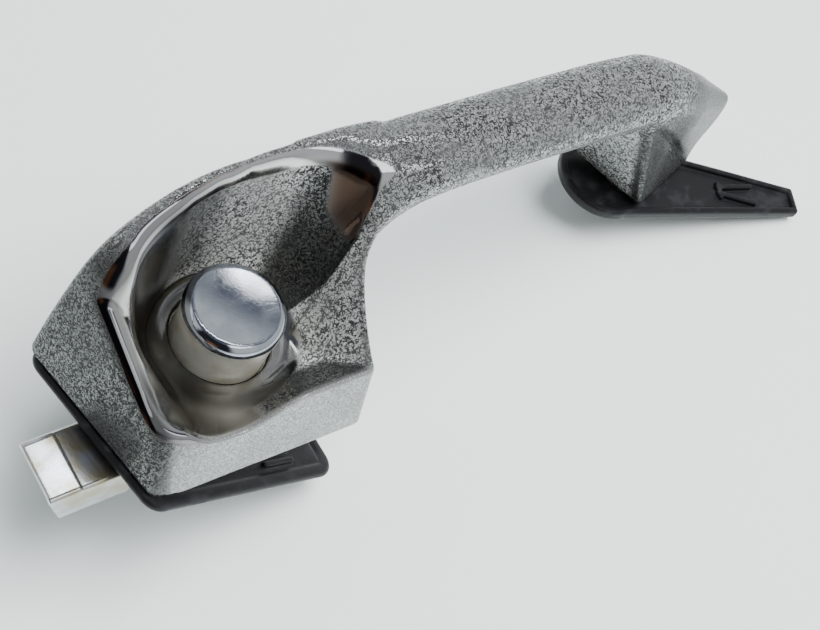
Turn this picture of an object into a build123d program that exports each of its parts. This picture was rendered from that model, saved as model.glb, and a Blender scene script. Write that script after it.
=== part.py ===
from build123d import *
import os
from math import cos, hypot, radians, sin

os.makedirs("parts", exist_ok=True)

# A pull-type car door handle with a push button, as it looks before it is fitted to a door.
# Frame: +Z points out of the door, +X to the rear (button end), +Y to the open side of the
# thumb scoop. The origin is on the button's axis, in the plane of the casting's feet.

# ---------------------------------------------------------------- driving dimensions, mm
# housing outline at the base, and the same outline carried up to the height of the bow's crown
BASE_CORNERS = [
    (37.2, -14.0), (28.8, 28.4), (-24.4, 27.6), (-28.0, 4.0), (-37.0, -21.5), (6.0, -21.8)
]
CROWN_CORNERS = [
    (24.0, -16.0), (6.0, 14.5), (-19.5, 14.0), (-22.5, 4.0), (-45.0, -22.4), (6.0, -22.4)
]
BASE_CORNER_RADIUS = 4.0
CROWN_CORNER_RADIUS = 3.5
FOOT_CORNERS = [(-130.2, -20.4), (-138.8, 1.6), (-164.5, -6.4)]
NECK_CORNERS = [(-117.0, -21.6), (-125.0, -3.8), (-141.0, -9.5)]
FOOT_CORNER_RADIUS = 1.6
NECK_HEIGHT = 34.0

BOW_CENTRE_Y = -12.6
BOW_HALF_WIDTH = 9.9
BOW_CROWN = 46.8
BOW_EDGE = 40.0
BOW_UNDERSIDE = 36.0
NOSE_TIP_X = -167.5

SILL_Y = 23.2
SILL_HEIGHT = 15.5
WALL = 2.6
SCOOP_FLOOR = 7.0
HOLE_RADIUS = 13.4
BOSS_RADIUS = 15.6

# button and what moves with it
CAP_RADIUS = 12.3
CAP_TOP = 22.2
CAP_HEIGHT = 3.6
CAP_ROLL = 1.4
CAP_DISH = 0.4
CAP_DISH_SPHERE = 130.0
BARREL_RADIUS = 11.5
BARREL_BORE = 9.6
BARREL_FOOT = -2.0
BARREL_ROOF = 2.4
ROD_RADIUS = 3.0
ROD_END = -22.0
RIVET_SPIGOT = 2.0
CLIP_TOP = -12.7
CLIP_THICKNESS = 0.8
CLIP_RADIUS = 5.0
CLIP_GROOVE_RADIUS = 2.3
M5_CORE = 2.1
ADJUSTER_LENGTH = 12.0
ADJUSTER_HEAD = 3.0
LOCK_NUT_HEIGHT = 3.5

# guide, seal, spring and spring cup
RUNNING_GAP = 0.06
SEAL_HEIGHT = 1.4
SEAL_DEPTH = 0.6
SEAL_GAP = 0.3
SHEET = 1.6
FLANGE_TOP = 2.0
FLANGE_RADIUS = 17.0
CUP_RADIUS = 14.2
CUP_BOTTOM = -11.6
ROD_HOLE_RADIUS = 3.3
SPRING_RADIUS = 7.0
SPRING_WIRE = 0.7
SPRING_TURNS = 7
SCREW_RADIUS = 2.0
SCREW_HEAD_RADIUS = 3.3
SCREW_HEAD_HEIGHT = 2.0
SCREW_DEPTH = 4.0
SCREW_CIRCLE = 18.0
LUG_RADIUS = 4.4
WASHER_HEIGHT = 0.8

# bracket
BRACKET_SHEET = 1.8
BRACKET_Y = 10.2
BRACKET_WIDTH = 15.6
BRACKET_FOOT_X = 16.6
BRACKET_WEB_X = 26.0
TAIL_TOP = -5.8
TAIL_END = 47.6
TAIL_DEPTH = 12.0
TAIL_SLANT = 4.2
PAD_X = 40.6
PAD_HEIGHT = 0.3
RIVET_X = 21.0
RIVET_RADIUS = 1.6
RIVET_HEAD_RADIUS = 3.0
RIVET_HEAD_HEIGHT = 1.2
RIVET_SPACING = 9.0
NUT_LENGTH = 5.0
NUT_X = 37.0
NUT_HEIGHT = 9.0
M6_CORE = 2.5

# rear gasket
GASKET = 2.6
GASKET_TOP = -0.3
GASKET_MARGIN = 1.3
GASKET_CORNERS = [
    (38.6, -14.6), (29.9, 29.7), (-32.4, 29.9), (-34.0, 4.0), (-39.6, -23.0), (6.0, -23.1)
]
GASKET_CORNER_RADIUS = 5.0
GASKET_DROOP = 24.0
WINDOW = [(29.0, -13.2), (29.0, 19.4), (-19.4, 19.4), (-19.4, -17.4), (16.0, -17.4)]

# front gasket, a tray turned about the front fixing
FIX_X = -141.0
FIX_Y = -8.4
INSERT_RADIUS = 4.2
INSERT_DEPTH = 10.0
INSERT_COLLAR = 5.0
INSERT_THREAD = 4.8
TRAY_TURN = -25.0
TRAY_RIM_TOP = -0.3
TRAY_FLOOR = -1.7
TRAY_BOTTOM = -4.0
TRAY_RIM = 1.8
TRAY_END_RADIUS = 13.5
TRAY_END_OFFSET = 6.0
TRAY_TAIL_HALF = 4.4
TRAY_TAIL_REACH = 59.5


def outline(plane, corners, radius):
    """A closed outline through the corners, each rounded to the radius."""
    with BuildSketch(plane) as section:
        with BuildLine():
            FilletPolyline(*corners, radius=radius, close=True)
        make_face()
    return section.sketch


# ---------------------------------------------------------------- handle_body
def bow_section(x, crown, edge, underside, centre, half_width):
    """A crowned section of the bow, across it at x."""
    shoulder = edge + 0.62 * (crown - edge)
    sketch_plane = Plane(origin=(x, 0, 0), x_dir=(0, 1, 0), z_dir=(1, 0, 0))
    with BuildSketch(sketch_plane) as section:
        with BuildLine():
            near = (centre + half_width, edge)
            far = (centre - half_width, edge)
            Line(near, (centre + 0.8 * half_width, underside))
            Line((centre + 0.8 * half_width, underside), (centre - 0.8 * half_width, underside))
            Line((centre - 0.8 * half_width, underside), far)
            Spline(
                far,
                (centre - 0.78 * half_width, shoulder),
                (centre, crown),
                (centre + 0.78 * half_width, shoulder),
                near,
            )
        make_face()
    return section.sketch


bow_stations = [
    (-20.0, BOW_CROWN - 0.8, BOW_EDGE - 1.5, 26.0, BOW_CENTRE_Y, BOW_HALF_WIDTH),
    (-46.0, BOW_CROWN, BOW_EDGE, 34.5, BOW_CENTRE_Y, BOW_HALF_WIDTH),
    (-78.0, BOW_CROWN + 0.9, BOW_EDGE, BOW_UNDERSIDE, BOW_CENTRE_Y, BOW_HALF_WIDTH),
    (-112.0, BOW_CROWN + 0.8, BOW_EDGE, BOW_UNDERSIDE - 1.0, BOW_CENTRE_Y, BOW_HALF_WIDTH),
]
nose_stations = [
    (-112.0, BOW_CROWN + 0.8, BOW_EDGE, BOW_UNDERSIDE - 1.0, BOW_CENTRE_Y, BOW_HALF_WIDTH),
    (-127.0, 46.4, 39.0, 32.0, BOW_CENTRE_Y, BOW_HALF_WIDTH),
    (-145.0, 39.6, 32.0, 16.5, -11.2, 7.0),
    (-158.0, 32.2, 26.0, 4.5, -9.8, 3.6),
    (NOSE_TIP_X, 25.4, 21.0, 0.3, -8.6, 1.0),
]

with BuildPart() as handle_body:
    # housing: a mound that leans back from the near side to the far side
    add(outline(Plane.XY, BASE_CORNERS, BASE_CORNER_RADIUS))
    add(outline(Plane.XY.offset(BOW_CROWN), CROWN_CORNERS, CROWN_CORNER_RADIUS))
    loft(ruled=True)
    # the near side's slope, from the bow's near edge down to the sill
    with BuildSketch(Plane.YZ.offset(-60.0)):
        with BuildLine():
            Polyline(
                (BOW_CENTRE_Y, BOW_CROWN + 0.2),
                (BOW_CENTRE_Y + BOW_HALF_WIDTH, BOW_EDGE),
                (SILL_Y, SILL_HEIGHT),
                (60.0, SILL_HEIGHT),
                (60.0, 60.0),
                (BOW_CENTRE_Y, 60.0),
                close=True,
            )
        make_face()
    extrude(amount=120.0, mode=Mode.SUBTRACT)
    # the far side's slope, down from the crown
    with BuildSketch(Plane.YZ.offset(-60.0)):
        with BuildLine():
            Polyline(
                (BOW_CENTRE_Y, BOW_CROWN + 0.2),
                (BOW_CENTRE_Y - BOW_HALF_WIDTH, BOW_EDGE),
                (-60.0, BOW_EDGE),
                (-60.0, 60.0),
                (BOW_CENTRE_Y, 60.0),
                close=True,
            )
        make_face()
    extrude(amount=120.0, mode=Mode.SUBTRACT)
    # the rear end's slope
    with BuildSketch(Plane.XZ.offset(60.0)):
        with BuildLine():
            rear_slope = [(37.4, 0.0), (32.5, 18.0), (26.0, 33.0)]
            Polyline((60.0, 0.0), *rear_slope)
            ThreePointArc((26.0, 33.0), (17.0, 42.0), (0.0, BOW_CROWN - 1.0))
            Polyline((0.0, BOW_CROWN - 1.0), (0.0, 60.0), (60.0, 60.0), (60.0, 0.0))
        make_face()
    extrude(amount=-120.0, mode=Mode.SUBTRACT)
    # bow and nose
    for stations in (bow_stations, nose_stations):
        for station in stations:
            add(bow_section(*station))
        loft()
    # web under the bow's root
    with BuildSketch(Plane.XZ.offset(2.9)):
        with BuildLine():
            Line((-28.0, 12.0), (-33.5, 12.0))
            ThreePointArc((-33.5, 12.0), (-41.5, 29.5), (-59.0, 37.0))
            Line((-59.0, 37.0), (-28.0, 37.0))
            Line((-28.0, 37.0), (-28.0, 12.0))
        make_face()
    extrude(amount=19.4)
    # foot under the nose
    add(outline(Plane.XY, FOOT_CORNERS, FOOT_CORNER_RADIUS))
    add(outline(Plane.XY.offset(NECK_HEIGHT), NECK_CORNERS, FOOT_CORNER_RADIUS))
    loft(ruled=True)
    # thumb scoop round the button
    with BuildSketch(Plane.XY.offset(SCOOP_FLOOR)):
        Circle(HOLE_RADIUS + 2.2)
    with BuildSketch(Plane.XY.offset(22.0)):
        with Locations((-1.0, 2.5)):
            Ellipse(25.5, 19.5)
    with BuildSketch(Plane.XY.offset(50.0)):
        with Locations((-5.0, 4.0)):
            Ellipse(34.0, 22.5)
    loft(mode=Mode.SUBTRACT)
    # hollow underside, with a deeper core under the bow's root and one behind the scoop
    with BuildSketch(Plane.XY) as pocket:
        add(outline(Plane.XY, BASE_CORNERS, BASE_CORNER_RADIUS))
        offset(amount=-WALL, kind=Kind.INTERSECTION)
    extrude(amount=SCOOP_FLOOR - WALL, mode=Mode.SUBTRACT)
    add(outline(Plane.XY, [(-33.2, -18.4), (-28.0, -3.0), (-24.6, -3.0), (-24.6, -18.4)], 1.5))
    extrude(amount=15.0, mode=Mode.SUBTRACT)
    add(outline(Plane.XY, [(30.2, -10.0), (26.2, 12.0), (23.6, 12.0), (23.6, -10.0)], 1.0))
    extrude(amount=11.0, mode=Mode.SUBTRACT)
    # guide boss and screw bosses, down to the flange that closes them
    with BuildSketch(Plane.XY.offset(FLANGE_TOP)):
        Circle(BOSS_RADIUS)
        with PolarLocations(SCREW_CIRCLE, 3, start_angle=135, angular_range=180, endpoint=True):
            Circle(SCREW_HEAD_RADIUS)
    extrude(amount=SCOOP_FLOOR - FLANGE_TOP - 1.0)
    with BuildSketch(Plane.XY.offset(FLANGE_TOP)):
        with PolarLocations(SCREW_CIRCLE, 3, start_angle=135, angular_range=180, endpoint=True):
            Circle(SCREW_RADIUS)
    extrude(amount=SCREW_DEPTH, mode=Mode.SUBTRACT)
    # the button's hole and the front insert's seat
    Cylinder(HOLE_RADIUS, 60.0, mode=Mode.SUBTRACT)
    with BuildSketch(Plane.XY):
        with Locations((FIX_X, FIX_Y)):
            Circle(INSERT_RADIUS)
    extrude(amount=INSERT_DEPTH, mode=Mode.SUBTRACT)
handle_body.part.label = "handle_body"
export_step(handle_body.part, "parts/handle_body.step")

# ---------------------------------------------------------------- button_cap
# A pressed cap with a rolled rim and a slightly dished face.
with BuildPart() as button_cap:
    with BuildSketch(Plane.XY.offset(CAP_TOP - CAP_HEIGHT)):
        Circle(CAP_RADIUS)
    extrude(amount=CAP_HEIGHT)
    fillet(button_cap.edges().group_by(Axis.Z)[-1], CAP_ROLL)
    chamfer(button_cap.edges().group_by(Axis.Z)[0], 0.4)
    with Locations((0.0, 0.0, CAP_TOP - CAP_DISH + CAP_DISH_SPHERE)):
        Sphere(CAP_DISH_SPHERE, mode=Mode.SUBTRACT)
button_cap.part.label = "button_cap"
export_step(button_cap.part, "parts/button_cap.step")

# ---------------------------------------------------------------- button_barrel
with BuildPart() as button_barrel:
    with BuildSketch(Plane.XY.offset(BARREL_FOOT)):
        Circle(BARREL_RADIUS)
    extrude(amount=CAP_TOP - CAP_HEIGHT - BARREL_FOOT)
    with BuildSketch(Plane.XY.offset(BARREL_FOOT)):
        Circle(BARREL_BORE)
    extrude(amount=CAP_TOP - CAP_HEIGHT - BARREL_FOOT - BARREL_ROOF, mode=Mode.SUBTRACT)
    Cylinder(RIVET_SPIGOT, 60.0, mode=Mode.SUBTRACT)
    chamfer(button_barrel.edges().group_by(Axis.Z)[0], 0.4)
button_barrel.part.label = "button_barrel"
export_step(button_barrel.part, "parts/button_barrel.step")

# ---------------------------------------------------------------- plunger_rod
# Riveted into the barrel's roof, with a groove for the clip and a tapped end.
with BuildPart() as plunger_rod:
    roof = CAP_TOP - CAP_HEIGHT - BARREL_ROOF
    with BuildSketch(Plane.XY.offset(ROD_END)):
        Circle(ROD_RADIUS)
    extrude(amount=roof - ROD_END)
    with BuildSketch(Plane.XY.offset(roof)):
        Circle(RIVET_SPIGOT)
    extrude(amount=BARREL_ROOF)
    with BuildSketch(Plane.XY.offset(CLIP_TOP)):
        Circle(ROD_RADIUS)
        Circle(CLIP_GROOVE_RADIUS, mode=Mode.SUBTRACT)
    extrude(amount=-CLIP_THICKNESS, mode=Mode.SUBTRACT)
    with BuildSketch(Plane.XY.offset(ROD_END)):
        Circle(M5_CORE)
    extrude(amount=ADJUSTER_LENGTH - LOCK_NUT_HEIGHT - 1.5, mode=Mode.SUBTRACT)
plunger_rod.part.label = "plunger_rod"
export_step(plunger_rod.part, "parts/plunger_rod.step")

# ---------------------------------------------------------------- retaining_clip
# An E-clip in the rod's groove.
with BuildPart() as retaining_clip:
    with BuildSketch(Plane.XY.offset(CLIP_TOP - CLIP_THICKNESS)):
        Circle(CLIP_RADIUS)
        Circle(CLIP_GROOVE_RADIUS, mode=Mode.SUBTRACT)
        with Locations((CLIP_RADIUS, 0.0)):
            Rectangle(2 * CLIP_RADIUS, 2 * CLIP_GROOVE_RADIUS - 0.4, mode=Mode.SUBTRACT)
    extrude(amount=CLIP_THICKNESS)
retaining_clip.part.label = "retaining_clip"
export_step(retaining_clip.part, "parts/retaining_clip.step")

# ---------------------------------------------------------------- stop_washer
with BuildPart() as stop_washer:
    with BuildSketch(Plane.XY.offset(CLIP_TOP)):
        Circle(CLIP_RADIUS + 1.0)
        Circle(ROD_RADIUS, mode=Mode.SUBTRACT)
    extrude(amount=WASHER_HEIGHT)
stop_washer.part.label = "stop_washer"
export_step(stop_washer.part, "parts/stop_washer.step")

# ---------------------------------------------------------------- adjusting_screw
with BuildPart() as adjusting_screw:
    screw_foot = ROD_END - LOCK_NUT_HEIGHT - 1.5
    with BuildSketch(Plane.XY.offset(screw_foot)):
        Circle(M5_CORE)
    extrude(amount=ADJUSTER_LENGTH)
    with BuildSketch(Plane.XY.offset(screw_foot)):
        Circle(4.0)
    extrude(amount=-ADJUSTER_HEAD)
    fillet(adjusting_screw.edges().filter_by(GeomType.CIRCLE).group_by(Axis.Z)[0], 1.4)
adjusting_screw.part.label = "adjusting_screw"
export_step(adjusting_screw.part, "parts/adjusting_screw.step")

# ---------------------------------------------------------------- lock_nut
with BuildPart() as lock_nut:
    with BuildSketch(Plane.XY.offset(ROD_END - LOCK_NUT_HEIGHT)):
        RegularPolygon(4.0, 6, major_radius=False)
        Circle(M5_CORE, mode=Mode.SUBTRACT)
    extrude(amount=LOCK_NUT_HEIGHT)
lock_nut.part.label = "lock_nut"
export_step(lock_nut.part, "parts/lock_nut.step")

# ---------------------------------------------------------------- guide_bush
# The bush fills the casting's hole round the barrel, below the seal.
seal_foot = SCOOP_FLOOR - SEAL_DEPTH - SEAL_HEIGHT
with BuildPart() as guide_bush:
    with BuildSketch(Plane.XY.offset(FLANGE_TOP)):
        Circle(HOLE_RADIUS)
        Circle(BARREL_RADIUS + RUNNING_GAP, mode=Mode.SUBTRACT)
    extrude(amount=seal_foot - FLANGE_TOP)
guide_bush.part.label = "guide_bush"
export_step(guide_bush.part, "parts/guide_bush.step")

# ---------------------------------------------------------------- dust_seal
with BuildPart() as dust_seal:
    with BuildSketch(Plane.XY.offset(seal_foot)):
        Circle(HOLE_RADIUS)
        Circle(BARREL_RADIUS + SEAL_GAP, mode=Mode.SUBTRACT)
    extrude(amount=SEAL_HEIGHT)
dust_seal.part.label = "dust_seal"
export_step(dust_seal.part, "parts/dust_seal.step")

# ---------------------------------------------------------------- spring_cup
# A drawn cup with a flange: three lugs for the screws and a tongue for the bracket.
tongue_length = BRACKET_WEB_X + 1.0
with BuildPart() as spring_cup:
    with BuildSketch(Plane.XY.offset(FLANGE_TOP - SHEET)):
        Circle(FLANGE_RADIUS)
        with PolarLocations(SCREW_CIRCLE, 3, start_angle=135, angular_range=180, endpoint=True):
            Circle(LUG_RADIUS)
        with Locations((tongue_length / 2, BRACKET_Y)):
            Rectangle(tongue_length, BRACKET_WIDTH - 1.0)
    extrude(amount=SHEET)
    with BuildSketch(Plane.XY.offset(CUP_BOTTOM)):
        Circle(CUP_RADIUS)
    extrude(amount=FLANGE_TOP - CUP_BOTTOM)
    fillet(spring_cup.edges().group_by(Axis.Z)[0], 1.6)
    with BuildSketch(Plane.XY.offset(CUP_BOTTOM + SHEET)):
        Circle(CUP_RADIUS - SHEET)
    extrude(amount=FLANGE_TOP - CUP_BOTTOM - SHEET, mode=Mode.SUBTRACT)
    Cylinder(ROD_HOLE_RADIUS, 60.0, mode=Mode.SUBTRACT)
    with BuildSketch(Plane.XY.offset(FLANGE_TOP - SHEET)):
        with PolarLocations(SCREW_CIRCLE, 3, start_angle=135, angular_range=180, endpoint=True):
            Circle(SCREW_RADIUS + 0.2)
        with Locations((RIVET_X, BRACKET_Y)):
            with GridLocations(0.0, RIVET_SPACING, 1, 2):
                Circle(RIVET_RADIUS)
    extrude(amount=SHEET, mode=Mode.SUBTRACT)
spring_cup.part.label = "spring_cup"
export_step(spring_cup.part, "parts/spring_cup.step")

# ---------------------------------------------------------------- return_spring
spring_foot = CUP_BOTTOM + SHEET + SPRING_WIRE
spring_head = roof - SPRING_WIRE
with BuildPart() as return_spring:
    with BuildLine():
        Helix((spring_head - spring_foot) / SPRING_TURNS, spring_head - spring_foot, SPRING_RADIUS,
              center=(0, 0, spring_foot))
    with BuildSketch(Plane(origin=(SPRING_RADIUS, 0, spring_foot), z_dir=(0, 1, 0))):
        Circle(SPRING_WIRE)
    sweep(is_frenet=True)
return_spring.part.label = "return_spring"
export_step(return_spring.part, "parts/return_spring.step")

# ---------------------------------------------------------------- plate_screws and plate_washers
head_top = FLANGE_TOP - SHEET - WASHER_HEIGHT
with BuildPart() as plate_screws:
    with BuildSketch(Plane.XY.offset(head_top)):
        with PolarLocations(SCREW_CIRCLE, 3, start_angle=135, angular_range=180, endpoint=True):
            Circle(SCREW_HEAD_RADIUS)
    extrude(amount=-SCREW_HEAD_HEIGHT)
    with BuildSketch(Plane.XY.offset(head_top)):
        with PolarLocations(SCREW_CIRCLE, 3, start_angle=135, angular_range=180, endpoint=True):
            Circle(SCREW_RADIUS)
    extrude(amount=FLANGE_TOP + SCREW_DEPTH - head_top)
    with BuildSketch(Plane.XY.offset(head_top - SCREW_HEAD_HEIGHT)):
        with PolarLocations(SCREW_CIRCLE, 3, start_angle=135, angular_range=180, endpoint=True):
            Rectangle(2 * SCREW_HEAD_RADIUS, 1.0)
    extrude(amount=1.0, mode=Mode.SUBTRACT)
plate_screws.part.label = "plate_screws"
export_step(plate_screws.part, "parts/plate_screws.step")

with BuildPart() as plate_washers:
    with BuildSketch(Plane.XY.offset(head_top)):
        with PolarLocations(SCREW_CIRCLE, 3, start_angle=135, angular_range=180, endpoint=True):
            Circle(SCREW_HEAD_RADIUS)
            Circle(SCREW_RADIUS + 0.2, mode=Mode.SUBTRACT)
    extrude(amount=WASHER_HEIGHT)
plate_washers.part.label = "plate_washers"
export_step(plate_washers.part, "parts/plate_washers.step")

# ---------------------------------------------------------------- mounting_bracket
# A foot under the flange's tongue, a step down, and a channel that hooks behind the door skin.
foot_top = FLANGE_TOP - SHEET
with BuildPart() as mounting_bracket:
    # the channel, open below and at its rear end, with a raised pad at its end
    with BuildSketch(Plane.YZ.offset(BRACKET_WEB_X)) as channel:
        with Locations((BRACKET_Y, TAIL_TOP - TAIL_DEPTH / 2)):
            Rectangle(BRACKET_WIDTH, TAIL_DEPTH)
        fillet(channel.vertices().group_by(Axis.Z)[-1], 1.4)
        with Locations((BRACKET_Y, TAIL_TOP - BRACKET_SHEET - TAIL_DEPTH / 2)):
            Rectangle(BRACKET_WIDTH - 2 * BRACKET_SHEET, TAIL_DEPTH, mode=Mode.SUBTRACT)
    extrude(amount=TAIL_END - BRACKET_WEB_X)
    with BuildSketch(Plane.YZ.offset(BRACKET_WEB_X)):
        with Locations((BRACKET_Y, TAIL_TOP)):
            Rectangle(BRACKET_WIDTH, 2 * PAD_HEIGHT)
    extrude(amount=PAD_X - BRACKET_WEB_X, mode=Mode.SUBTRACT)
    with BuildSketch(Plane.XZ.offset(-BRACKET_Y)):
        with BuildLine():
            Polyline(
                (TAIL_END, TAIL_TOP - BRACKET_SHEET),
                (TAIL_END - TAIL_SLANT, TAIL_TOP - TAIL_DEPTH),
                (TAIL_END, TAIL_TOP - TAIL_DEPTH),
                close=True,
            )
        make_face()
    extrude(amount=BRACKET_WIDTH, both=True, mode=Mode.SUBTRACT)
    # the step up and the foot
    with BuildSketch(Plane.XZ.offset(-BRACKET_Y)):
        with BuildLine():
            Polyline(
                (BRACKET_FOOT_X, foot_top),
                (BRACKET_WEB_X + BRACKET_SHEET, foot_top),
                (BRACKET_WEB_X + BRACKET_SHEET, TAIL_TOP - BRACKET_SHEET),
                (BRACKET_WEB_X, TAIL_TOP - BRACKET_SHEET),
                (BRACKET_WEB_X, foot_top - BRACKET_SHEET),
                (BRACKET_FOOT_X, foot_top - BRACKET_SHEET),
                close=True,
            )
        make_face()
    extrude(amount=BRACKET_WIDTH / 2, both=True)
    with BuildSketch(Plane.XY.offset(foot_top - BRACKET_SHEET)):
        with Locations((RIVET_X, BRACKET_Y)):
            with GridLocations(0.0, RIVET_SPACING, 1, 2):
                Circle(RIVET_RADIUS)
    extrude(amount=BRACKET_SHEET, mode=Mode.SUBTRACT)
mounting_bracket.part.label = "mounting_bracket"
export_step(mounting_bracket.part, "parts/mounting_bracket.step")

# ---------------------------------------------------------------- bracket_rivets
with BuildPart() as bracket_rivets:
    with BuildSketch(Plane.XY.offset(foot_top - BRACKET_SHEET)):
        with Locations((RIVET_X, BRACKET_Y)):
            with GridLocations(0.0, RIVET_SPACING, 1, 2):
                Circle(RIVET_RADIUS)
    extrude(amount=BRACKET_SHEET + SHEET)
    with BuildSketch(Plane.XY.offset(foot_top - BRACKET_SHEET)):
        with Locations((RIVET_X, BRACKET_Y)):
            with GridLocations(0.0, RIVET_SPACING, 1, 2):
                Circle(RIVET_HEAD_RADIUS)
    extrude(amount=-RIVET_HEAD_HEIGHT)
    with BuildSketch(Plane.XY.offset(FLANGE_TOP)):
        with Locations((RIVET_X, BRACKET_Y)):
            with GridLocations(0.0, RIVET_SPACING, 1, 2):
                Circle(RIVET_HEAD_RADIUS)
    extrude(amount=RIVET_HEAD_HEIGHT)
bracket_rivets.part.label = "bracket_rivets"
export_step(bracket_rivets.part, "parts/bracket_rivets.step")

# ---------------------------------------------------------------- fixing_nut
# A square nut welded in the channel: the screw comes in through the door's rear edge, along X.
with BuildPart() as fixing_nut:
    nut_top = TAIL_TOP - BRACKET_SHEET
    with BuildSketch(Plane.YZ.offset(NUT_X)):
        with Locations((BRACKET_Y, nut_top - NUT_HEIGHT / 2)):
            Rectangle(BRACKET_WIDTH - 2 * BRACKET_SHEET, NUT_HEIGHT)
            Circle(M6_CORE, mode=Mode.SUBTRACT)
    extrude(amount=NUT_LENGTH)
fixing_nut.part.label = "fixing_nut"
export_step(fixing_nut.part, "parts/fixing_nut.step")

# ---------------------------------------------------------------- foot_insert
# A steel boss cast into the foot; its collar locates the front gasket and is tapped from below.
with BuildPart() as foot_insert:
    with BuildSketch(Plane.XY.offset(-INSERT_COLLAR)):
        with Locations((FIX_X, FIX_Y)):
            Circle(INSERT_RADIUS)
    extrude(amount=INSERT_COLLAR + INSERT_DEPTH)
    with BuildSketch(Plane.XY.offset(-INSERT_COLLAR)):
        with Locations((FIX_X, FIX_Y)):
            Circle(M6_CORE)
    extrude(amount=INSERT_THREAD, mode=Mode.SUBTRACT)
foot_insert.part.label = "foot_insert"
export_step(foot_insert.part, "parts/foot_insert.step")

# ---------------------------------------------------------------- rear_gasket
# Follows the housing's outline; it hangs from its rear edge until the handle is fitted.
rear_far, rear_near = BASE_CORNERS[0], BASE_CORNERS[1]
edge_run = (rear_near[0] - rear_far[0], rear_near[1] - rear_far[1])
edge_length = hypot(*edge_run)
hinge_direction = (edge_run[0] / edge_length, edge_run[1] / edge_length, 0.0)
hinge_point = (
    rear_far[0] + GASKET_MARGIN * hinge_direction[1],
    rear_far[1] - GASKET_MARGIN * hinge_direction[0],
    GASKET_TOP,
)
with BuildPart() as rear_gasket:
    with BuildSketch(Plane.XY.offset(GASKET_TOP)):
        add(outline(Plane.XY, GASKET_CORNERS, GASKET_CORNER_RADIUS))
        add(outline(Plane.XY, WINDOW, 3.0), mode=Mode.SUBTRACT)
    extrude(amount=-GASKET)
    with BuildSketch(Plane.XY.offset(GASKET_TOP)):
        with Locations((-13.0, 22.0), (-13.0, 24.0)):
            SlotOverall(10.0, 1.0)
    extrude(amount=1.2)
rear_gasket.part = rear_gasket.part.rotate(Axis(hinge_point, hinge_direction), -GASKET_DROOP)
rear_gasket.part.label = "rear_gasket"
export_step(rear_gasket.part, "parts/rear_gasket.step")

# ---------------------------------------------------------------- front_gasket
# A tray with a raised rim: a round end under the foot and a long cut tail with two ribs.
tray_frame = Plane(
    origin=(FIX_X, FIX_Y, 0.0),
    x_dir=(-cos(radians(TRAY_TURN)), -sin(radians(TRAY_TURN)), 0.0),
    z_dir=(0.0, 0.0, 1.0),
)


def tray_outline(height, inset):
    """The tray's outline at a height, drawn in by inset."""
    end_radius = TRAY_END_RADIUS - inset
    tail_half = TRAY_TAIL_HALF - inset
    reach = TRAY_TAIL_REACH - inset
    lean = (TRAY_END_RADIUS - TRAY_TAIL_HALF) / (TRAY_TAIL_REACH + TRAY_END_OFFSET)
    touch_x = -TRAY_END_OFFSET + end_radius * lean
    touch_y = end_radius * (1.0 - lean * lean) ** 0.5
    with BuildSketch(tray_frame.offset(height)) as section:
        with BuildLine():
            Line((touch_x, touch_y), (reach, tail_half))
            Line((reach, tail_half), (reach, -tail_half))
            Line((reach, -tail_half), (touch_x, -touch_y))
            ThreePointArc(
                (touch_x, -touch_y), (-TRAY_END_OFFSET - end_radius, 0.0), (touch_x, touch_y)
            )
        make_face()
    return section.sketch


with BuildPart() as front_gasket:
    add(tray_outline(TRAY_BOTTOM, 0.0))
    extrude(amount=TRAY_RIM_TOP - TRAY_BOTTOM)
    fillet(front_gasket.edges().group_by(Axis.Z)[-1], 0.7)
    add(tray_outline(TRAY_FLOOR, TRAY_RIM))
    extrude(amount=5.0, mode=Mode.SUBTRACT)
    with BuildSketch(tray_frame.offset(TRAY_FLOOR)):
        with Locations((38.0, 0.0)):
            with Locations(Location((0.0, 2.0), 9.0), Location((0.0, -2.0), -9.0)):
                Rectangle(13.0, 1.3)
    extrude(amount=TRAY_RIM_TOP - TRAY_FLOOR - 0.2)
    with BuildSketch(tray_frame.offset(TRAY_BOTTOM)):
        Circle(INSERT_RADIUS + 0.3)
    extrude(amount=5.0, mode=Mode.SUBTRACT)
front_gasket.part.label = "front_gasket"
export_step(front_gasket.part, "parts/front_gasket.step")
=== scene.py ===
import math

import bpy
import numpy as np
from mathutils import Matrix, Vector


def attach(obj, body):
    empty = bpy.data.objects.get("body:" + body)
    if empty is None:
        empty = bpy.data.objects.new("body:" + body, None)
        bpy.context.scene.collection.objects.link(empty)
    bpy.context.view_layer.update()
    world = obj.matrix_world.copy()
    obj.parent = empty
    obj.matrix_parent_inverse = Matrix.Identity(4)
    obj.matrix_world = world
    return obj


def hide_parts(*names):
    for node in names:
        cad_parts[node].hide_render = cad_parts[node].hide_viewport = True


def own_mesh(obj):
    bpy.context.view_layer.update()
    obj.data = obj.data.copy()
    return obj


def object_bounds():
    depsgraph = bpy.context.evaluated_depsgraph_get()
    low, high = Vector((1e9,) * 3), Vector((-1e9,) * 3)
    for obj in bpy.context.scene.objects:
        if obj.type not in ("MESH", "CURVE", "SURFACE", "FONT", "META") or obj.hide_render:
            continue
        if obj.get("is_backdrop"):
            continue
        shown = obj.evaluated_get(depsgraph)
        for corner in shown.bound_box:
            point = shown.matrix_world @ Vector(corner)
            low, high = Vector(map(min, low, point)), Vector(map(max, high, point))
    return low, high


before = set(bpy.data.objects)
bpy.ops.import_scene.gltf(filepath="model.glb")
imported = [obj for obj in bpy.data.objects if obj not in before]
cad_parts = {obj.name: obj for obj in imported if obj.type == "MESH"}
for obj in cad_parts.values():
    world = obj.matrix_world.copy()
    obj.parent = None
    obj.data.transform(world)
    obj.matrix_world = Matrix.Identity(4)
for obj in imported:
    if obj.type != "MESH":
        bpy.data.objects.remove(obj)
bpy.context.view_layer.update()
MM = 0.001
SCENE = bpy.context.scene

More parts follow.
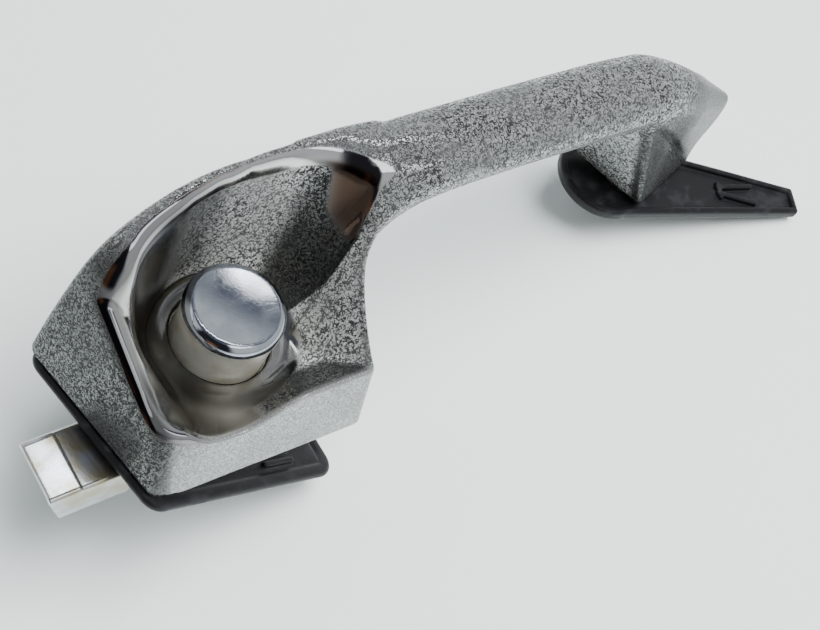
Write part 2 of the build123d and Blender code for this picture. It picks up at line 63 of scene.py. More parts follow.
# The frame is the CAD's: +Z out of the door, +X to the button end, +Y to the scoop's open side,
# with the origin on the button's axis. Shapes are written in millimetres and scaled at the end.

# ------------------------------------------------------------------ camera
CAMERA_PLACE = Vector((0.1536, 0.1124, 0.2895))
CAMERA_AIM = Vector((-0.0383, 0.0157, 0.0200))
CAMERA_ROLL = math.radians(36.8)
CAMERA_LENS = 66.1


def make_camera():
    """Looks from CAMERA_PLACE to CAMERA_AIM, with +Z leaning right by CAMERA_ROLL."""
    forward = (CAMERA_AIM - CAMERA_PLACE).normalized()
    upright = (Vector((0, 0, 1)) - forward * forward.z).normalized()
    level = forward.cross(upright)
    up = upright * math.cos(CAMERA_ROLL) - level * math.sin(CAMERA_ROLL)
    right = forward.cross(up)
    camera = bpy.data.objects.new("camera", bpy.data.cameras.new("camera"))
    camera.data.lens = CAMERA_LENS
    camera.data.sensor_width = 36.0
    camera.data.clip_start = 0.01
    camera.matrix_world = Matrix.Translation(CAMERA_PLACE) @ Matrix(
        (right, up, -forward)
    ).transposed().to_4x4()
    SCENE.collection.objects.link(camera)
    SCENE.camera = camera


# ------------------------------------------------------------------ signed distances, mm
def smooth_max(a, b, k):
    """The larger of two distances, with the edge between them rounded over about k."""
    h = np.clip(0.5 + 0.5 * (a - b) / k, 0.0, 1.0)
    return b + (a - b) * h + k * h * (1.0 - h)


def smooth_min(a, b, k):
    """The smaller of two distances, with the corner between them filled over about k."""
    return -smooth_max(-a, -b, k)


def plane(point, normal):
    """The distance outside a plane through point, as a function of a place."""
    length = math.sqrt(sum(c * c for c in normal))
    n = [c / length for c in normal]
    offset = sum(a * b for a, b in zip(n, point))
    return lambda x, y, z: n[0] * x + n[1] * y + n[2] * z - offset


def ease(value, low, high):
    """0 below low and 1 above high, with a smooth run between."""
    t = np.clip((value - low) / (high - low), 0.0, 1.0)
    return t * t * (3.0 - 2.0 * t)


# outer walls of the housing, each as a point on the wall and the way it faces
REAR_WALL = plane((37.5, -13.7, 0.0), (1.0, 0.208, 0.13))
REAR_CORNER = plane((30.0, -17.0, 37.0), (1.0, 0.10, 0.52))
REAR_SHOULDER = plane((20.0, -18.0, 41.6), (0.42, -0.02, 0.91))
TOP = plane((-5.0, -20.0, 43.9), (0.0, 0.05, 1.0))
FAR_WALL = plane((0.0, -22.8, 30.0), (0.0, -1.0, 0.02))
FAR_REAR_WALL = plane((6.0, -23.3, 0.0), (0.235, -1.0, 0.03))
NEAR_WALL = plane((0.0, 28.8, 0.0), (0.015, 1.0, 0.36))
NEAR_CORNER = plane((29.6, 29.4, 0.0), (0.60, 0.624, 0.502))
FRONT_WALL_NEAR = plane((-24.8, 27.6, 0.0), (-1.0, 0.153, 0.0))
FRONT_WALL_FAR = plane((-28.0, 4.0, 0.0), (-1.0, 0.353, -0.12))

# thumb scoop: the bowl's rim by angle round the button, as (degrees, reach, height)
SCOOP_FLOOR = 7.0
SCOOP_FLOOR_RADIUS = 15.4
RIM = np.array([
    (-180.0, 34.0, 36.0),
    (-170.5, 36.0, 38.5),
    (-162.0, 34.8, 39.5),
    (-153.0, 32.4, 40.2),
    (-139.0, 28.4, 40.4),
    (-125.0, 23.6, 39.6),
    (-104.0, 18.9, 38.4),
    (-78.0, 17.7, 37.4),
    (-55.0, 18.6, 36.0),
    (-41.6, 20.6, 34.4),
    (-28.6, 23.0, 31.5),
    (-15.6, 24.8, 27.5),
    (0.0, 25.6, 22.8),
    (22.0, 24.4, 16.8),
    (38.0, 25.6, 12.5),
    (52.0, 26.6, 10.2),
    (70.0, 23.0, 9.6),
    (90.0, 19.5, 9.6),
    (130.0, 18.5, 10.0),
    (150.0, 19.0, 10.5),
    (168.0, 30.0, 34.0),
    (180.0, 34.0, 36.0),
])
FLANK_LOW = plane((-27.1, -1.5, 24.0), (0.825, 0.082, 0.56))
FLANK_HIGH = plane((-27.1, -1.5, 24.0), (0.335, 0.798, 0.50))
FLANK_EDGE = plane((-27.1, -1.5, 24.0), (0.0, 0.942, 0.336))
SILL_STRIP = plane((0.0, 16.0, 9.5), (0.0, -0.646, 0.763))
REAR_RAMP = plane((22.0, 9.0, 15.5), (-0.62, 0.30, 0.73))

# underside and hole of the housing
HOLE_RADIUS = 13.4
LIP_RADIUS = 12.0
LIP_FOOT = 4.9
WALL = 2.6
POCKET_TOP = 4.4
POCKET_FRONT = -24.0
BOSS_RADIUS = 15.6
SCREW_CIRCLE = 18.0
SCREW_TURNS = (135.0, 225.0, 315.0)
POST_RADIUS = 3.3
POST_FOOT = 2.0

# bow and nose along X: place, crown, edge, underside, centre line, half width
BOW = np.array([
    (-16.0, 42.6, 39.0, 24.0, -12.6, 9.6),
    (-28.0, 44.4, 39.9, 26.0, -12.6, 9.8),
    (-36.0, 45.6, 40.2, 30.0, -12.6, 9.9),
    (-46.0, 46.6, 40.7, 34.5, -12.6, 9.9),
    (-78.0, 47.6, 41.0, 36.0, -12.6, 9.9),
    (-112.0, 47.6, 40.7, 35.4, -12.6, 9.9),
    (-127.0, 46.4, 39.3, 34.5, -12.6, 9.8),
    (-136.0, 43.4, 36.2, 27.5, -12.0, 8.6),
    (-145.0, 39.2, 32.4, 19.0, -11.2, 7.0),
    (-158.0, 31.5, 25.6, 6.4, -9.8, 3.7),
    (-167.5, 25.6, 20.5, -3.0, -8.6, 1.1),
    (-172.0, 22.4, 17.5, -8.0, -8.0, 0.4),
])[::-1]

# foot under the nose
FOOT_REAR = plane((-130.2, -20.4, 0.0), (0.887, 0.347, -0.305))
FOOT_SIDE = plane((-138.8, 1.8, 0.0), (-0.285, 0.916, 0.281))
FOOT_FAR = plane((-130.2, -20.8, 0.0), (-0.378, -0.926, 0.0))
FOOT_FLAT = plane((0.0, -21.4, 0.0), (0.0, -1.0, 0.0))
FIXING = (-141.0, -8.4)
INSERT_RADIUS = 4.2
INSERT_TOP = 10.0


def bow_distance(x, y, z):
    """The bow and the nose: a crowned section that narrows to the prow."""
    crown, edge, under, centre, half = (smooth_curve(x, column) for column in range(1, 6))
    across = (y - centre) / half
    fall = (crown - edge) * (1.0 - 0.30 * ease(-across, 0.0, 0.8))
    top = z - crown + fall * np.abs(across) ** 2.6
    slope = 2.6 * fall / half * np.minimum(np.abs(across), 1.2) ** 1.6
    top = top / np.sqrt(1.0 + slope * slope)
    taper = 0.22 * ease(x, -134.0, -118.0)
    side = (np.abs(y - centre) - half - taper * np.minimum(z - edge, 0.0)) * 0.976
    bottom = (under - z) * 0.8
    prow = -(x + 163.3 - 0.06 * (z - 24.0)) * 0.99
    body = smooth_max(top, side, 1.1)
    body = smooth_max(body, bottom, 1.4)
    body = smooth_max(body, x + 10.0, 6.0)
    return smooth_max(body, prow, 1.5)


def smooth_curve(x, column):
    """A bow measure at x, eased between the stations."""
    span = 3.0
    steps = (-1.0, -0.5, 0.0, 0.5, 1.0)
    total = sum(np.interp(x + span * s, BOW[:, 0], BOW[:, column]) for s in steps)
    return total / len(steps)


def web_distance(x, y, z):
    """The web that carries the bow down to the housing, with a round front edge."""
    centre_x, centre_z, radius = -65.6, 3.6, 33.4
    reach = radius - np.hypot(x - centre_x, z - centre_z)
    side = np.abs(y + 12.6) - 8.6
    ends = np.maximum(np.maximum(-62.0 - x, x + 26.0), z - 37.5)
    return smooth_max(smooth_max(reach, side, 2.5), ends, 1.0)


def foot_distance(x, y, z):
    """The three-sided foot, hollowed on its near side."""
    flute = 26.0 - np.hypot(x + 163.5 - 0.25 * z, y - 23.0 + 0.30 * z)
    side = smooth_max(FOOT_SIDE(x, y, z), flute, 2.0)
    body = smooth_max(FOOT_REAR(x, y, z), side, 1.6)
    far = smooth_max(FOOT_FAR(x, y, z), FOOT_FLAT(x, y, z), 2.0)
    body = smooth_max(body, far, 1.6)
    return smooth_max(body, z - 36.0, 2.0)


def around(angle, column):
    """A rim measure at an angle in degrees, eased between the stations."""
    steps = (-6.0, -3.0, 0.0, 3.0, 6.0)
    total = 0.0
    for step in steps:
        turned = (angle + step + 180.0) % 360.0 - 180.0
        total = total + np.interp(turned, RIM[:, 0], RIM[:, column])
    return total / len(steps)


def bowl_distance(x, y, z):
    """The round part of the scoop, from the flat round the button up to the rim."""
    angle = np.degrees(np.arctan2(y, x))
    reach = around(angle, 1)
    height = around(angle, 2)
    rise = np.maximum((z - SCOOP_FLOOR) / (height - SCOOP_FLOOR), 0.0004)
    share = np.where(rise < 1.0, rise ** 0.55, 1.0 + 0.55 * (rise - 1.0))
    wall = np.hypot(x, y) - SCOOP_FLOOR_RADIUS - (reach - SCOOP_FLOOR_RADIUS) * share
    wall = wall * 0.86
    wall = smooth_max(wall, FLANK_EDGE(x, y, z) - 60.0 * ease(x, -16.0, -2.0), 0.5)
    return smooth_max(wall, SCOOP_FLOOR - z, 1.6)


def flank_distance(x, y, z):
    """The twisted flank between the scoop and the front wall, positive in the open air."""
    high = ease(z, 8.0, 40.0)
    return FLANK_LOW(x, y, z) * (1.0 - high) + FLANK_HIGH(x, y, z) * high


def opening_distance(x, y, z):
    """The open near side of the scoop, over the sill and down the flank."""
    opening = smooth_max(-flank_distance(x, y, z), -SILL_STRIP(x, y, z), 2.0)
    opening = smooth_max(opening, -REAR_RAMP(x, y, z), 6.0)
    opening = smooth_max(opening, -3.0 - FLANK_EDGE(x, y, z), 1.0)
    return smooth_max(opening, SCOOP_FLOOR - z, 1.6)


def scoop_distance(x, y, z):
    """The whole scoop: the bowl and its open side."""
    return smooth_min(bowl_distance(x, y, z), opening_distance(x, y, z), 1.2)


def housing_distance(x, y, z):
    """The housing before its scoop is cut."""
    rear = smooth_max(REAR_WALL(x, y, z) - 0.8, REAR_CORNER(x, y, z), 8.0)
    body = smooth_max(rear, REAR_SHOULDER(x, y, z), 7.0)
    body = smooth_max(body, TOP(x, y, z), 8.0)
    far = smooth_max(FAR_WALL(x, y, z), FAR_REAR_WALL(x, y, z), 3.0)
    body = smooth_max(body, far, 3.2)
    near = smooth_max(NEAR_WALL(x, y, z), NEAR_CORNER(x, y, z), 6.0)
    body = smooth_max(body, near, 1.3)
    front = smooth_min(FRONT_WALL_NEAR(x, y, z), FRONT_WALL_FAR(x, y, z), 6.0)
    return smooth_max(body, front, 2.2)


def pocket_distance(x, y, z, housing):
    """The shallow pocket under the housing, with its boss and three screw bosses."""
    pocket = smooth_max(housing + WALL, z - POCKET_TOP, 0.8)
    pocket = smooth_max(pocket, POCKET_FRONT - x, 0.8)
    pocket = smooth_max(pocket, BOSS_RADIUS - np.hypot(x, y), 0.5)
    for turn in SCREW_TURNS:
        post_x = SCREW_CIRCLE * math.cos(math.radians(turn))
        post_y = SCREW_CIRCLE * math.sin(math.radians(turn))
        post = np.minimum(POST_RADIUS - np.hypot(x - post_x, y - post_y), z - POST_FOOT)
        pocket = smooth_max(pocket, post, 0.3)
    return pocket


def casting_distance(x, y, z):
    """The whole casting."""
    housing = housing_distance(x, y, z)
    bow = bow_distance(x, y, z)
    body = smooth_min(housing, web_distance(x, y, z), 8.0)
    body = smooth_min(body, bow, 1.2 + 3.0 * ease(x, -48.0, -30.0))
    scoop = scoop_distance(x, y, z)
    rear = ease(x, 4.0, 24.0) * ease(-y, -22.0, -10.0)
    far = ease(-y, 4.0, 12.0)
    root = far * ease(-x, 14.0, 30.0)
    rim = 1.3 + 4.2 * rear + (2.4 * far + 4.0 * root) * (1.0 - rear)
    body = smooth_max(body, -scoop, rim)
    body = smooth_min(body, foot_distance(x, y, z), 2.2)
    body = smooth_max(body, -z, 0.6)
    body = smooth_max(body, -pocket_distance(x, y, z, housing), 0.4)
    from_fixing = np.hypot(x - FIXING[0], y - FIXING[1])
    seat = np.maximum(from_fixing - INSERT_RADIUS, z - INSERT_TOP)
    body = smooth_max(body, -seat, 0.2)
    r = np.hypot(x, y)
    body = smooth_max(body, -np.maximum(r - HOLE_RADIUS, z - LIP_FOOT), 0.2)
    return smooth_max(body, LIP_RADIUS - r, 0.45)


# ------------------------------------------------------------------ from distance to mesh
def surface_mesh(name, distance, low, high, step):
    """A closed quad mesh of distance == 0 inside a box, drawn onto the surface itself."""
    counts = [int(math.ceil((b - a) / step)) + 1 for a, b in zip(low, high)]
    axes = [a + step * np.arange(n, dtype=np.float32) for a, n in zip(low, counts)]
    field = np.empty(counts, np.float32)
    slab = 48
    for start in range(0, counts[0], slab):
        grid = np.meshgrid(axes[0][start:start + slab], axes[1], axes[2], indexing="ij")
        field[start:start + slab] = distance(*grid)
    inside = field < 0
    cells = [n - 1 for n in counts]
    total = np.zeros(cells + [3], np.float32)
    hits = np.zeros(cells, np.float32)
    corners = [(i, j, k) for i in (0, 1) for j in (0, 1) for k in (0, 1)]

    def part(array, c):
        return array[c[0]:c[0] + cells[0], c[1]:c[1] + cells[1], c[2]:c[2] + cells[2]]

    for a in corners:
        for axis in range(3):
            if a[axis] == 1:
                continue
            b = tuple(1 if i == axis else a[i] for i in range(3))
            fa, fb = part(field, a), part(field, b)
            crossed = part(inside, a) != part(inside, b)
            share = np.where(crossed, fa / np.where(crossed, fa - fb, 1.0), 0.0)
            for i in range(3):
                total[..., i] += np.where(crossed, a[i] + (share if i == axis else 0.0), 0.0)
            hits += crossed
    used = hits > 0
    index = np.full(cells, -1, np.int64)
    index[used] = np.arange(used.sum())
    place = total[used] / hits[used][:, None]
    place = (np.argwhere(used) + place) * step + np.array(low)
    quads = []
    for axis in range(3):
        u, v = [i for i in range(3) if i != axis]
        shape = [slice(1, -1)] * 3
        shape[axis] = slice(0, cells[axis])
        first = inside[tuple(shape)]
        shape[axis] = slice(1, cells[axis] + 1)
        second = inside[tuple(shape)]
        at = np.argwhere(first != second)
        leaving = first[tuple(at.T)]
        at[:, u] += 1
        at[:, v] += 1
        ring = []
        for du, dv in ((-1, -1), (0, -1), (0, 0), (-1, 0)):
            cell = at.copy()
            cell[:, u] += du
            cell[:, v] += dv
            ring.append(index[tuple(cell.T)])
        ring = np.stack(ring, 1)
        flip = leaving == (axis == 1)
        ring[flip] = ring[flip][:, ::-1]
        quads.append(ring)
    quads = np.concatenate(quads)
    for _ in range(4):
        value, normal = slope_at(distance, place)
        place = place - np.clip(value, -step, step)[:, None] * normal
    _, normal = slope_at(distance, place)
    mesh = bpy.data.meshes.new(name)
    mesh.from_pydata((place * MM).tolist(), [], quads.tolist())
    mesh.shade_smooth()
    mesh.normals_split_custom_set_from_vertices(normal.tolist())
    thing = bpy.data.objects.new(name, mesh)
    SCENE.collection.objects.link(thing)
    return thing, place


def slope_at(distance, place):
    """The distance at each place, over its slope, and the direction in which it grows."""
    nudge = 0.05
    x, y, z = (place[:, i] for i in range(3))
    value = distance(x, y, z)
    grad = np.stack([
        distance(x + nudge, y, z) - distance(x - nudge, y, z),
        distance(x, y + nudge, z) - distance(x, y - nudge, z),
        distance(x, y, z + nudge) - distance(x, y, z - nudge),
    ], 1) / (2 * nudge)
    size = np.maximum(np.linalg.norm(grad, axis=1), 1e-3)
    return value / size, grad / size[:, None]


def corner_inset(corners, inset):
    """The corners of a polygon drawn in by inset; corners run anticlockwise."""
    drawn = []
    for i, (x, y) in enumerate(corners):
        before, after = corners[i - 1], corners[(i + 1) % len(corners)]
        a = np.array((x - before[0], y - before[1]))
        b = np.array((after[0] - x, after[1] - y))
        na = np.array((-a[1], a[0])) / np.hypot(*a)
        nb = np.array((-b[1], b[0])) / np.hypot(*b)
        drawn.append(tuple(np.array((x, y)) + inset * (na + nb) / (1.0 + na @ nb)))
    return drawn


def polygon_distance(u, v, corners, radius=0.0):
    """The plane distance to a polygon with its corners rounded to radius."""
    corners = corner_inset(corners, radius)
    best = np.full(u.shape, 1e9)
    inside = np.zeros(u.shape, bool)
    for i, (bx, by) in enumerate(corners):
        ax, ay = corners[i - 1]
        ex, ey = bx - ax, by - ay
        t = np.clip(((u - ax) * ex + (v - ay) * ey) / (ex * ex + ey * ey), 0.0, 1.0)
        best = np.minimum(best, (u - ax - ex * t) ** 2 + (v - ay - ey * t) ** 2)
        with np.errstate(divide="ignore", invalid="ignore"):
            crossing = ((ay > v) != (by > v)) & (u < (bx - ax) * (v - ay) / (by - ay) + ax)
        inside ^= crossing
    return np.where(inside, -1.0, 1.0) * np.sqrt(best) - radius


# rear gasket: it hangs from a hinge line at its rear edge, down by GASKET_DROOP
GASKET_OUTLINE = [
    (38.6, -14.6), (29.9, 29.7), (-32.4, 29.9), (-34.0, 4.0), (-39.6, -23.0), (6.0, -23.1)
]
GASKET_WINDOW = [(-19.4, -17.4), (16.0, -17.4), (29.0, -13.2), (29.0, 19.4), (-19.4, 19.4)]
GASKET_HINGE = (38.475, -13.747, -0.3)
GASKET_AXIS = (-0.19434, 0.98093)
GASKET_DROOP = math.radians(24.0)


def flat_gasket(x, y, z):
    """Takes a place on the hanging gasket back to where it is when it lies flat."""
    along = (x - GASKET_HINGE[0]) * GASKET_AXIS[0] + (y - GASKET_HINGE[1]) * GASKET_AXIS[1]
    out = (x - GASKET_HINGE[0]) * GASKET_AXIS[1] - (y - GASKET_HINGE[1]) * GASKET_AXIS[0]
    drop = z - GASKET_HINGE[2]
    turned = out * math.cos(GASKET_DROOP) + drop * math.sin(GASKET_DROOP)
    rise = drop * math.cos(GASKET_DROOP) - out * math.sin(GASKET_DROOP)
    flat_x = GASKET_HINGE[0] + along * GASKET_AXIS[0] + turned * GASKET_AXIS[1]
    flat_y = GASKET_HINGE[1] + along * GASKET_AXIS[1] - turned * GASKET_AXIS[0]
    return flat_x, flat_y, rise


def rear_gasket_distance(x, y, z):
    """A soft-edged sheet with a window, a raised bead inside its edge and two ribs."""
    x, y, rise = flat_gasket(x, y, z)
    edge = polygon_distance(x, y, GASKET_OUTLINE, 5.0)
    window = polygon_distance(x, y, GASKET_WINDOW, 3.0)
    sheet = smooth_max(np.maximum(rise, -2.6 - rise), edge, 1.5)
    sheet = smooth_max(sheet, -window, 0.8)
    sheet = sheet + 0.35 * np.exp(-((edge + 3.6) / 0.7) ** 2) * ease(rise, -1.2, -0.2)
    for centre in (21.6, 24.6):
        rib = np.hypot(np.maximum(np.abs(x + 13.5) - 4.6, 0.0), y - centre) - 0.75
        sheet = smooth_min(sheet, smooth_max(rib, np.abs(rise) - 1.1, 0.5), 0.5)
    return sheet


# front gasket: it turns about the foot's fixing
TRAY_TURN = math.radians(-25.0)
TRAY_OUTLINE_TAIL = [(-6.0, 13.36), (-6.0, -13.36), (59.5, -4.4), (59.5, 4.4)]


def tray_distance(x, y, z):
    """The front gasket: a tray with a rolled rim, a round end and a long squared tail."""
    u = -(x - FIXING[0]) * math.cos(TRAY_TURN) - (y - FIXING[1]) * math.sin(TRAY_TURN)
    v = (x - FIXING[0]) * math.sin(TRAY_TURN) - (y - FIXING[1]) * math.cos(TRAY_TURN)
    edge = np.minimum(np.hypot(u + 6.0, v) - 13.5, polygon_distance(u, v, TRAY_OUTLINE_TAIL, 1.2))
    lip = -0.3 - 0.25 * ease(u, 30.0, 60.0)
    slab = smooth_max(np.maximum(z - lip, -4.0 - z), edge, 1.3)
    basin = smooth_max(edge + 2.0, -1.9 - z, 0.8)
    slab = smooth_max(slab, -basin, 0.8)
    for side in (-1.0, 1.0):
        across = (v - side * 2.0) * math.cos(0.157) - side * (u - 38.0) * math.sin(0.157)
        rib = np.hypot(np.maximum(np.abs(u - 38.0) - 5.8, 0.0), across) - 0.8
        slab = smooth_min(slab, smooth_max(rib, np.abs(z + 1.6) - 1.15, 0.5), 0.5)
    cross = np.hypot(np.maximum(np.abs(v) - 2.2, 0.0), u - 32.6) - 0.7
    slab = smooth_min(slab, smooth_max(cross, np.abs(z + 1.7) - 1.0, 0.5), 0.5)
    return smooth_max(slab, 4.5 - np.hypot(x - FIXING[0], y - FIXING[1]), 0.3)


def cap_distance(x, y, z):
    """The button's cap: a rolled rim round a shallow dished face."""
    r = np.hypot(x, y)
    dish = 10.2
    face = z - 20.25 - 0.55 * (np.minimum(r, dish) / dish) ** 2
    face = face + 0.25 * np.maximum(r - dish, 0.0)
    side = r - 11.95 - 0.05 * (z - 19.3)
    cap = smooth_max(face, side, 2.6)
    return smooth_max(cap, 17.3 - z, 0.9)


def barrel_distance(x, y, z):
    """The button's barrel, just narrower than its cap, open below."""
    r = np.hypot(x, y)
    wall = smooth_max(r - 11.35, np.maximum(z - 17.8, -2.0 - z), 0.6)
    return smooth_max(wall, -smooth_max(r - 9.6, z - 16.0, 0.5), 0.5)


def bracket_distance(x, y, z):
    """The channel behind the door skin: creased across its top, cut on a slant, with a foot."""
    centre, outer_half, inner_half = 10.2, 7.8, 6.0
    seat, inner_top, bottom = -1.3, -7.6, -17.8
    foot_front, step_front, step_rear = 16.6, 26.0, 27.8
    across = np.abs(y - centre)
    top = z + 6.0 - 0.2 * ease(x, 39.8, 40.4) + 0.05 * np.maximum(x - 40.6, 0.0)
    outer = smooth_max(across - outer_half, top, 1.6)
    outer = np.maximum(outer, bottom - z)
    inner = smooth_max(across - inner_half, z - inner_top, 0.5)
    channel = smooth_max(outer, -inner, 0.4)
    slant = (x - 47.6 - 0.41 * np.minimum(z - inner_top, 0.0)) * 0.92
    channel = smooth_max(smooth_max(channel, slant, 0.4), step_front - x, 0.4)
    under_seat = z - seat
    step = np.maximum(np.maximum(step_front - x, x - step_rear), under_seat)
    step = np.maximum(step, inner_top - z)
    foot = np.maximum(np.maximum(foot_front - x, x - step_rear), under_seat)
    foot = np.maximum(foot, -3.1 - z)
    plate = smooth_max(np.minimum(step, foot), across - outer_half, 0.4)
    return smooth_min(channel, plate, 0.4)


def make_piece(node, body, distance, low, high, step):
    """Puts a sculpted piece in the place of a CAD node."""
    piece, _ = surface_mesh("visual_" + node, distance, low, high, step)
    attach(piece, body)
    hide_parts(node)
    return piece


def make_spring():
    """The return spring again, as a copy of the CAD node fixed to the housing, in spring steel."""
    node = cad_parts["return_spring"]
    spring = node.copy()
    spring.data = node.data.copy()
    spring.name = "visual_return_spring"
    SCENE.collection.objects.link(spring)
    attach(spring, "housing")
    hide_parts("return_spring")
    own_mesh(spring)
    spring.data.materials.clear()
    spring.data.materials.append(BY_SLOT["spring_steel"])


def make_casting():
    """Puts the sculpted casting in the place of the CAD's, with its measures for the chrome."""
    step = 0.5
    casting, place = surface_mesh(
        "door_handle_casting", casting_distance, (-172.0, -26.0, -2.0), (42.0, 32.0, 51.0), step
    )
    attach(casting, "housing")
    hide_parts("handle_body")
    shade_casting(casting, place)
    return casting


# ------------------------------------------------------------------ node helpers
class Shader:
    """A material being built: add() makes a node and wires or sets its inputs."""

    def __init__(self, owner):
        owner.use_nodes = True
        self.tree = owner.node_tree

    def add(self, kind, out=0, inputs=None, **options):
        node = self.tree.nodes.new("ShaderNode" + kind)
        for key, value in options.items():
            setattr(node, key, value)
        for key, value in (inputs or {}).items():
            self.set(node.inputs[key], value)
        return node.outputs[out]

    def set(self, socket, value):
        if isinstance(value, bpy.types.NodeSocket):
            self.tree.links.new(value, socket)
        elif isinstance(value, tuple) and len(value) == 3 and socket.type == "RGBA":
            socket.default_value = (*value, 1.0)
        else:
            socket.default_value = value

    def math(self, operation, a, b=0.0, c=0.0):
        return self.add("Math", inputs={0: a, 1: b, 2: c}, operation=operation)

    def times(self, a, b):
        return self.math("MULTIPLY", a, b)

    def plus(self, a, b):
        return self.math("ADD", a, b)

    def minus(self, a, b):
        return self.math("SUBTRACT", a, b)

    def measure(self, name):
        """A number that the mesh carries at each of its points."""
        return self.add("Attribute", out=2, attribute_name=name)

    def apart(self, way, centre):
        """How far a direction lies from a fixed one."""
        inputs = {0: way, 1: centre}
        return self.add("VectorMath", out=1, inputs=inputs, operation="DISTANCE")

    def step(self, value, low, high, first=0.0, last=1.0):
        """first below low and last above high, smoothly between."""
        inputs = {"Value": value, "From Min": low, "From Max": high}
        inputs.update({"To Min": first, "To Max": last})
        return self.add("MapRange", inputs=inputs, interpolation_type="SMOOTHSTEP")

    def mix(self, factor, a, b):
        inputs = {0: factor, 6: a, 7: b}
        return self.add("Mix", out=2, inputs=inputs, data_type="RGBA")

    def blend(self, factor, a, b):
        return self.add("Mix", out=0, inputs={0: factor, 2: a, 3: b}, data_type="FLOAT")

    def noise(self, scale, detail=2.0, distortion=0.0, rough=0.5, at=None):
        inputs = {"Scale": scale, "Detail": detail, "Roughness": rough, "Distortion": distortion}
        inputs["Vector"] = at if at is not None else self.place()
        return self.add("TexNoise", inputs=inputs)

    def place(self):
        """The point itself, in metres of its own piece."""
        return self.add("TexCoord", out=3)

    def bump(self, height, depth):
        inputs = {"Height": height, "Distance": depth, "Strength": 1.0}
        return self.add("Bump", inputs=inputs)


def surface(name):
    """A new principled material, and the shader to build it with."""
    material = bpy.data.materials.new(name)
    shader = Shader(material)
    return material, shader


def finish_surface(shader, **inputs):
    """Sets or wires the principled shader's inputs, with _ for the spaces in their names."""
    target = shader.tree.nodes["Principled BSDF"]
    for key, value in inputs.items():
        shader.set(target.inputs[key.replace("_", " ")], value)


def worms(shader, scale, width, seed):
    """Short dark worm-like cracks: level lines of one noise, broken up by another."""
    inputs = {0: shader.place(), 1: (seed, seed * 0.7, 0.3)}
    shift = shader.add("VectorMath", inputs=inputs, operation="ADD")
    field = shader.noise(scale, 1.5, 0.35, 0.45, shift)
    line = shader.math("ABSOLUTE", shader.minus(field, 0.5))
    line = shader.step(line, width * 0.5, width, 1.0, 0.0)
    broken = shader.step(shader.noise(scale * 0.9, 1.0, 0.0, 0.5, shift), 0.39, 0.45)
    return shader.times(line, broken)


# what the casting's mesh carries at each point: polished (1) or crackled (0), fine crackle,
# painted light and shade, how satin it is, and where it is tinted brown
MEASURES = ("polish", "fine", "painted_light_shade", "matt", "brown_tint")


def aged_chrome():
    """Old chrome: polished where hands rubbed it, dark crackle and bloom elsewhere, its colour
    scaled by painted light and shade.
    """
    material, shader = surface("aged_chrome")
    polish, fine, painted_light_shade, matt, brown_tint = (shader.measure(name) for name in MEASURES)
    coarse = shader.math(
        "MAXIMUM", worms(shader, 1000.0, 0.080, 0.1), worms(shader, 1600.0, 0.065, 0.4)
    )
    small = worms(shader, 2000.0, 0.09, 0.8)
    crack = shader.blend(fine, coarse, shader.times(small, 0.45))
    patch = shader.step(shader.noise(70.0, 3.0), 0.36, 0.62)
    crack = shader.times(crack, shader.blend(patch, 0.86, 1.0))
    wear = shader.step(shader.plus(polish, shader.times(patch, 0.25)), 0.45, 0.95)
    crack = shader.times(crack, shader.minus(1.0, wear))
    dull = shader.mix(patch, (0.56, 0.58, 0.57), (0.68, 0.70, 0.69))
    bright = shader.mix(shader.noise(160.0, 3.0), (0.60, 0.59, 0.60), (0.68, 0.68, 0.70))
    bright = shader.mix(matt, bright, (0.58, 0.565, 0.53))
    # brown tint where the mesh carries it, patchy
    brown_patch = shader.times(brown_tint, shader.blend(patch, 0.5, 1.0))
    bright = shader.mix(brown_patch, bright, (0.50, 0.27, 0.16))
    color = shader.mix(crack, shader.mix(wear, dull, bright), (0.03, 0.03, 0.03))
    # painted light and shade: the colour is scaled by the light and shade that the mesh carries
    color = shader.add("VectorMath", inputs={0: color, "Scale": painted_light_shade}, operation="SCALE")
    rough = shader.plus(shader.blend(wear, 0.24, 0.06), shader.times(matt, 0.16))
    rough = shader.plus(rough, shader.times(crack, 0.3))
    metal = shader.blend(wear, shader.minus(0.86, shader.times(matt, 0.55)), 1.0)
    metal = shader.times(metal, shader.minus(1.0, shader.times(crack, 0.6)))
    height = shader.minus(shader.times(shader.noise(420.0, 2.0), 0.35), crack)
    normal = shader.bump(height, shader.blend(wear, 0.00008, 0.00001))
    finish_surface(shader, Base_Color=color, Roughness=rough, Metallic=metal, Normal=normal)
    return material


def plated(name, color, stain, roughness, metallic=1.0):
    """A plated or bare metal part with soft stains and fine scratches."""
    material, shader = surface(name)
    cloud = shader.step(shader.noise(150.0, 4.0), 0.35, 0.68)
    scratch = shader.noise(1400.0, 2.0, 1.5)
    rough = shader.plus(roughness, shader.times(cloud, 0.10))
    finish_surface(
        shader, Base_Color=shader.mix(cloud, color, stain), Metallic=metallic,
        Roughness=rough, Normal=shader.bump(scratch, 0.00001),
    )
    return material


def rubber(name, color, roughness):
    """Old satin rubber or nylon with dust and a slight orange peel."""
    material, shader = surface(name)
    dust = shader.step(shader.noise(260.0, 4.0), 0.50, 0.72)
    paler = tuple(c * 2.0 + 0.006 for c in color)
    rough = shader.plus(roughness, shader.times(dust, 0.22))
    finish_surface(
        shader, Base_Color=shader.mix(dust, color, paler), Roughness=rough,
        Specular_IOR_Level=0.22, Normal=shader.bump(shader.noise(1500.0, 3.0), 0.00003),
    )
    return material


